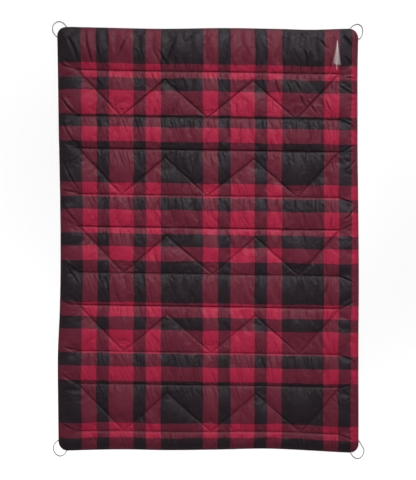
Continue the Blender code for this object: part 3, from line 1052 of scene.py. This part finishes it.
def blurred(values, reach):
    """The grid averaged over reach points each way."""
    for axis in (0, 1):
        values = np.moveaxis(values, axis, 0)
        padded = np.pad(values, ((reach + 1, reach), (0, 0)), mode="edge")
        total = np.cumsum(padded, axis=0)
        values = np.moveaxis((total[2 * reach + 1 :] - total[: -2 * reach - 1]) / (2 * reach + 1), 0, axis)
    return values


def sunken(height, depth, reach):
    """How far each point lies in a crease or seam: 0 in the open, 1 at depth below what is round it."""
    return np.clip((blurred(blurred(height, reach), reach) - height) / depth, 0.0, 1.0)


def edge_inset(x, y):
    """How far inside the cut edge each point is, round the corners too."""
    corner_x = np.abs(x) - (HALF_WIDTH - CORNER_RADIUS)
    corner_y = np.abs(y) - (HALF_LENGTH - CORNER_RADIUS)
    straight = np.minimum(HALF_WIDTH - np.abs(x), HALF_LENGTH - np.abs(y))
    rounded = CORNER_RADIUS - np.hypot(np.maximum(corner_x, 0), np.maximum(corner_y, 0))
    return np.where((corner_x > 0) & (corner_y > 0), rounded, straight)


def rolled_edge(face):
    """Rolls the face over the hem: the outermost points at half its height, the next over its top."""
    edge_height, roll_height = 0.5 * HEM_HEIGHT, 1.12 * HEM_HEIGHT
    face[1, 1:-1, 2] = face[-2, 1:-1, 2] = face[1:-1, 1, 2] = face[1:-1, -2, 2] = roll_height
    face[0, :, 2] = face[-1, :, 2] = face[:, 0, 2] = face[:, -1, 2] = edge_height


# ---------- quilt pads

# Each pad's first and last sewn line, and the panels it covers.
PADS = {
    "head_quilt": (None, ("chest", "upper"), ("head", "chest")),
    "chest_quilt": (("chest", "upper"), ("middle", "upper"), ("chest", "middle")),
    "middle_quilt": (("middle", "upper"), ("knee", "upper"), ("middle", "knee")),
    "foot_quilt": (("knee", "upper"), None, ("knee", "foot")),
}


def bend(piece, panel):
    """Bakes a piece's placement into its mesh; it does not bend it. The panel is not used."""
    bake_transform(piece)


def fresh_grid(pad, points):
    """The vertices of a new flat grid, one metre square, with as many rows and columns as points."""
    rows, columns = points.shape[:2]
    return bmesh.ops.create_grid(pad, x_segments=columns - 1, y_segments=rows - 1, size=0.5)["verts"]


def lay_points(verts, points, cut, cloth, fold):
    """Moves a fresh grid's vertices onto points and notes each one's place in the cut cloth."""
    rows, columns = points.shape[:2]
    grid = {}
    for vert in verts:
        column = round((vert.co.x + 0.5) * (columns - 1))
        row = round((0.5 - vert.co.y) * (rows - 1))
        grid[row, column] = vert
        vert.co = points[row, column]
        vert[cloth] = cut[row, column, :3]
        vert[fold] = cut[row, column, 3]
    return grid


def rim_of(grid, rows, columns):
    """The vertices round a grid's edge, in order."""
    top = [grid[0, column] for column in range(columns)]
    right = [grid[row, columns - 1] for row in range(1, rows)]
    bottom = [grid[rows - 1, column] for column in range(columns - 2, -1, -1)]
    left = [grid[row, 0] for row in range(rows - 2, 0, -1)]
    return top + right + bottom + left


def pad_mesh(name, face, face_cut, back, back_cut, zigzag):
    """One closed pad: the face, the back turned over, and a narrow wall all round that joins them."""
    pad = bmesh.new()
    cloth = pad.verts.layers.float_vector.new("cloth")
    fold = pad.verts.layers.float.new("fold")
    face_rows, face_columns = face.shape[:2]
    rows, columns = back.shape[:2]
    upper = lay_points(fresh_grid(pad, face), face, face_cut, cloth, fold)
    bmesh.ops.connect_verts(pad, verts=[upper[row, column] for row, column in np.argwhere(zigzag)])
    face_count = len(pad.faces)
    lower = lay_points(fresh_grid(pad, back), back, back_cut, cloth, fold)
    pad.faces.ensure_lookup_table()
    back_faces = [pad.faces[number] for number in range(face_count, len(pad.faces))]
    bmesh.ops.reverse_faces(pad, faces=back_faces)
    for item in back_faces:
        item.material_index = 1
    upper_rim, lower_rim = rim_of(upper, face_rows, face_columns), rim_of(lower, rows, columns)
    for number, vert in enumerate(lower_rim):
        above, between, beyond = (upper_rim[(2 * number + step) % len(upper_rim)] for step in range(3))
        following = lower_rim[(number + 1) % len(lower_rim)]
        pad.faces.new((above, vert, between))
        pad.faces.new((between, vert, following))
        pad.faces.new((between, following, beyond))
    bmesh.ops.recalc_face_normals(pad, faces=pad.faces)
    return smooth_mesh(name, pad)


def add_quilt(plaid, charcoal):
    """The quilt as four closed pads."""
    columns = grid_columns()
    rows, sewn = grid_rows()
    face, face_cut, back, back_cut = shaped_cloths(columns, rows, sewn)
    _, _, zigzag = laid_grid(doubled(columns), doubled(rows))
    for name, (first, last, panels) in PADS.items():
        top = sewn[first] if first else 0
        bottom = sewn[last] if last else len(rows) - 1
        fine, coarse = np.s_[2 * top : 2 * bottom + 1], np.s_[top : bottom + 1]
        mesh = pad_mesh(name, face[fine], face_cut[fine], back[coarse], back_cut[coarse], zigzag[fine])
        mesh.materials.append(plaid)
        mesh.materials.append(charcoal)
        piece = new_object(name, mesh)
        bend(piece, panels[0])
        for panel in panels:
            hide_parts(f"{panel}_face_cloth", f"{panel}_wadding", f"{panel}_back_cloth")


# ---------- stitching

STITCH = 3.0 * MM
STITCH_GAP = 0.7 * MM
STITCH_LIFT = 0.3 * MM
LINE_SPACING = 12 * MM


def stitches_mesh(name, line, height):
    """Separate stitches along line, each a slim rounded dash lying on the cloth."""
    dashes = bmesh.new()
    one = bpy.data.meshes.new("one_stitch")
    stitch = bmesh.new()
    bmesh.ops.create_uvsphere(stitch, u_segments=6, v_segments=4, radius=1.0)
    points = [Vector((*point, height)) for point in line]
    lengths = np.concatenate([[0.0], np.cumsum([(b - a).length for a, b in zip(points, points[1:])])])
    along = np.array(points)
    place = STITCH / 2
    while place < lengths[-1]:
        ends = [
            Vector([np.interp(at, lengths, along[:, axis]) for axis in range(3)])
            for at in (place - STITCH / 2, min(place + STITCH / 2, lengths[-1]))
        ]
        turn = (ends[1] - ends[0]).to_track_quat("Z", "Y").to_matrix().to_4x4()
        size = Matrix.Diagonal((THREAD_RADIUS, THREAD_RADIUS, (ends[1] - ends[0]).length / 2, 1.0))
        middle = Matrix.Translation((ends[0] + ends[1]) / 2)
        stitch.to_mesh(one)
        one.transform(middle @ turn @ size)
        dashes.from_mesh(one)
        place += STITCH + STITCH_GAP
    stitch.free()
    bpy.data.meshes.remove(one)
    return smooth_mesh(name, dashes)


def laid_line(points, spacing):
    """Points every spacing or so along a line with corners, moved to where the cloth lies."""
    line = [points[0]]
    for (x0, y0), (x1, y1) in zip(points, points[1:]):
        steps = max(1, math.ceil(math.hypot(x1 - x0, y1 - y0) / spacing))
        for step in range(1, steps + 1):
            line.append((x0 + (x1 - x0) * step / steps, y0 + (y1 - y0) * step / steps))
    x, y = (np.array(values) for values in zip(*line))
    return list(zip(*lie(x, y)))


def add_stitching(name, points, height, finish, nodes, panel=None, body=None):
    """One sewn line as a piece, which rides on a body unless a panel is given."""
    mesh = stitches_mesh(name, laid_line(points, LINE_SPACING), height)
    mesh.materials.append(finish)
    piece = new_object(name, mesh)
    if panel:
        bend(piece, panel)
    else:
        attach(piece, body)
    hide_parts(*nodes)


def topstitch_path(side_from, side_to, sides):
    """The hem topstitch down one or both sides between two rows, round the corners at an end."""
    inner = CORNER_RADIUS - HEM_WIDTH
    x, y = HALF_WIDTH - HEM_WIDTH, HALF_LENGTH - HEM_WIDTH
    if sides == "left":
        return [(-x, side_from), (-x, side_to)]
    if sides == "right":
        return [(x, side_from), (x, side_to)]
    end = 1 if sides == "head" else -1
    corner = [
        (inner * math.sin(angle), inner * (1 - math.cos(angle)))
        for angle in np.linspace(0, math.pi / 2, 7)
    ]
    left = [(-x + inset, end * (y - inner + rise)) for rise, inset in corner]
    right = [(x - inset, end * (y - inner + rise)) for rise, inset in reversed(corner)]
    return [(-x, side_from), *left, *right, (x, side_from)]


def add_quilting_rows(finish):
    """The straight rows and the zigzags."""
    height = PINCH_HEIGHT + STITCH_LIFT
    for panel in PANELS:
        fold, body = (panel if panel in FOLD_JOINTS else None), f"{panel}_panel"
        upper, lower = ([(-QUILTED_HALF, y), (QUILTED_HALF, y)] for y in (UPPER_ROW[panel], LOWER_ROW[panel]))
        for name, row, points, bends_at in (
            ("upper_row", "upper", upper, None),
            ("lower_row", "lower", lower, fold),
            ("zigzag", "zigzag", zigzag_points(panel), fold),
        ):
            nodes = [f"{panel}_{row}_quilting_row"]
            add_stitching(f"{panel}_{name}_stitches", points, height, finish, nodes, bends_at, body)


def add_hem_topstitches(finish):
    """The hem topstitch, round the head end, down both sides and round the foot end."""
    around_head = topstitch_path(UPPER_ROW["chest"], None, "head")
    around_foot = topstitch_path(UPPER_ROW["knee"], None, "foot")
    hems = [("head", around_head, ("head_end", "chest_left", "chest_right"), "head")]
    for upper, lower in (("chest", "middle"), ("middle", "knee")):
        for side in ("left", "right"):
            path = topstitch_path(UPPER_ROW[upper], UPPER_ROW[lower], side)
            hems.append((f"{upper}_{side}", path, (f"{upper}_{side}", f"{lower}_{side}"), upper))
    hems.append(("foot", around_foot, ("foot_end", "knee_left", "knee_right"), "knee"))
    for name, path, covered, fold in hems:
        nodes = [f"{part}_topstitch" for part in covered]
        add_stitching(f"{name}_topstitches", path, HEM_HEIGHT + STITCH_LIFT, finish, nodes, fold)


# ---------- build

add_camera()
add_studio()
add_loops(cord_finish())
add_quilt(plaid_finish(), back_finish())
wine_thread = thread_finish()
add_quilting_rows(wine_thread)
add_hem_topstitches(wine_thread)
